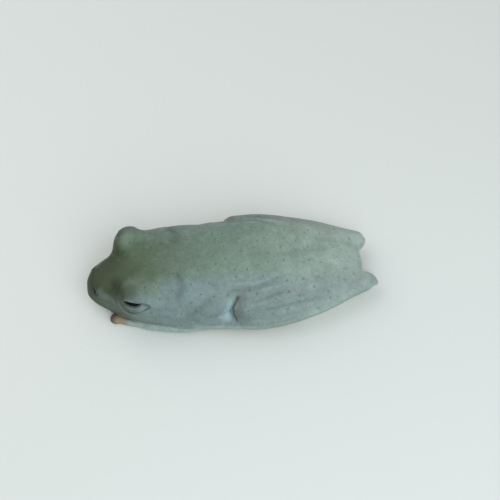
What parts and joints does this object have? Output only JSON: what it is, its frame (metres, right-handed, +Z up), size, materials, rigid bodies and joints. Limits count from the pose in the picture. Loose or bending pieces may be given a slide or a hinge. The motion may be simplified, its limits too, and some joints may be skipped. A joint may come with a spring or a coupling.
{
  "type": "reinwardts flying frog",
  "caption": "Life-size sleeping gliding tree frog, lying flat with its eyes almost shut, limbs folded close to the body and webbed feet tucked under it.",
  "frame": {"origin": "centre of the base, on the floor under the middle of the body", "axes": "+Z up, -Y towards the snout, +X towards the frog's own left side"},
  "size_m": [0.0257, 0.0578, 0.0127],
  "materials": {
    "skin": "satin, faintly moist",
    "throat": "satin",
    "digits": "satin",
    "eye": "gloss"
  },
  "bodies": {
    "root": {"torso": "skin", "head": "skin", "lower_jaw": "throat", "eye_left": "eye", "eye_right": "eye", "upper_arm_left": "skin", "upper_arm_right": "skin", "forearm_left": "skin", "forearm_right": "skin", "hand_left": "digits", "hand_right": "digits", "thigh_left": "skin", "thigh_right": "skin", "shank_left": "skin", "shank_right": "skin", "foot_left": "digits", "foot_right": "digits"}
  },
  "joints": []
}
